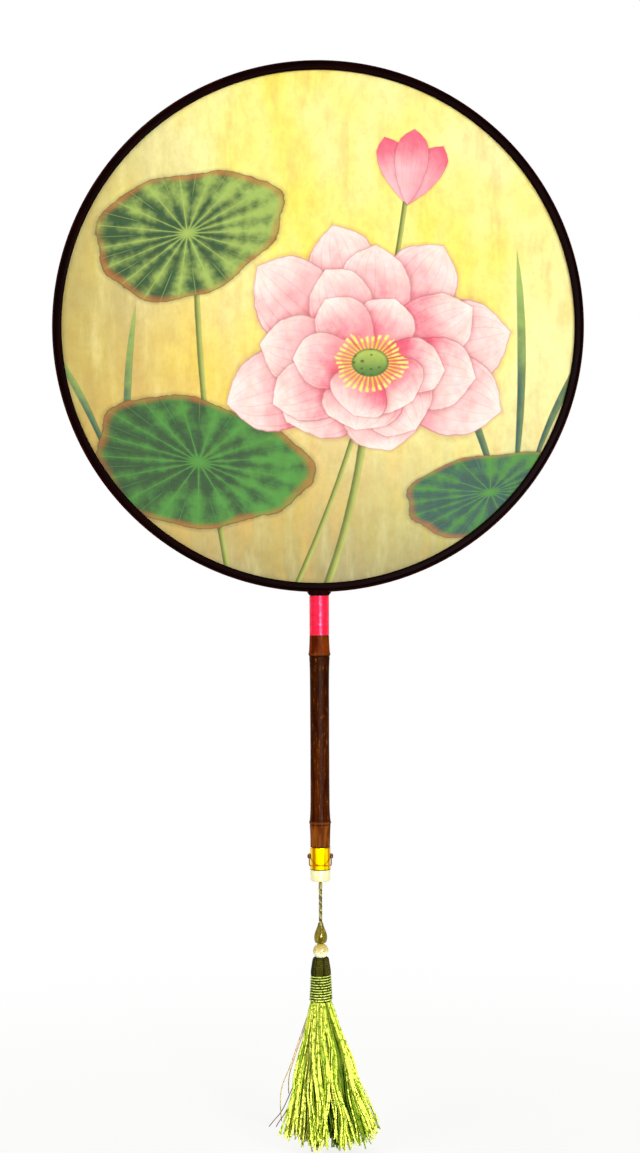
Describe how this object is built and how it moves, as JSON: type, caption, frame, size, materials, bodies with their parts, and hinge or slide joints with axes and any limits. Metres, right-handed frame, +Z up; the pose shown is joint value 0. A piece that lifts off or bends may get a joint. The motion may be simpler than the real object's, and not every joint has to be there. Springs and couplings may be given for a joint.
{
  "type": "round silk hand fan",
  "caption": "Round hand fan: a silk face in a lacquered bent rim on a noded bamboo handle, with a red thread neck, brass butt ferrule with wire bail, and a beaded cord and tassel.",
  "frame": {"origin": "on the handle's axis, at the middle of the grip between the two bamboo nodes", "axes": "+Z up the handle to the silk face, +X to the right seen from the front, +Y from the front face to the back"},
  "size_m": [0.25, 0.036, 0.5094],
  "materials": {
    "lacquered_bamboo": "gloss",
    "painted_silk": "satin",
    "plain_silk": "satin",
    "lining_paper": "matte",
    "raw_bamboo": "satin",
    "brown_bamboo": "gloss",
    "wrap_paper": "matte",
    "red_thread": "gloss",
    "brass": "polished",
    "dark_metal": "satin",
    "pale_bone": "gloss",
    "olive_cord": "satin",
    "smoky_glass": "polished",
    "pearl_glass": "polished",
    "tassel_thread": "satin",
    "binding_thread": "gloss"
  },
  "bodies": {
    "fan": {"rim_edge_band": "lacquered_bamboo", "front_rim_hoop": "lacquered_bamboo", "back_rim_hoop": "lacquered_bamboo", "painted_silk": "painted_silk", "silk_lining": "lining_paper", "back_silk": "plain_silk", "hoop_tang": "raw_bamboo", "neck_collar": "lacquered_bamboo", "bamboo_handle": "brown_bamboo", "tang_peg": "raw_bamboo", "wrap_sleeve": "wrap_paper", "red_thread_wrap": "red_thread", "brass_ferrule": "brass", "cross_pin": "dark_metal", "bone_end_plug": "pale_bone", "stopper_knot": "olive_cord"},
    "bail": {"hanging_bail": "brass"},
    "hitch": {"cord_hitch_knot": "olive_cord"},
    "cord": {"hanging_cord": "olive_cord"},
    "beads": {"drop_bead": "smoky_glass", "pearl_bead": "pearl_glass"},
    "tassel": {"tassel_head": "tassel_thread", "tassel_neck": "tassel_thread", "tassel_binding": "binding_thread", "tassel_skirt": "tassel_thread"}
  },
  "joints": [
    {"name": "bail_swing", "type": "hinge", "parent": "fan", "child": "bail", "pos_m": [0, 0, -0.0555], "axis": [-1, 0, 0], "range_deg": [0, 68]},
    {"name": "tassel_swing_front", "type": "hinge", "parent": "fan", "child": "hitch", "pos_m": [0, 0, -0.0684], "axis": [-1, 0, 0], "range_deg": [-75, 75]},
    {"name": "tassel_swing_side", "type": "hinge", "parent": "hitch", "child": "cord", "pos_m": [0, 0, -0.0727], "axis": [0, -1, 0], "range_deg": [-75, 75]},
    {"name": "beads_slide", "type": "slide", "parent": "cord", "child": "beads", "axis": [0, 0, 1], "range_m": [0, 0.0105]},
    {"name": "tassel_twist", "type": "hinge", "parent": "cord", "child": "tassel", "pos_m": [0, 0, -0.1028], "axis": [0, 0, 1], "range_deg": [-180, 180]}
  ]
}
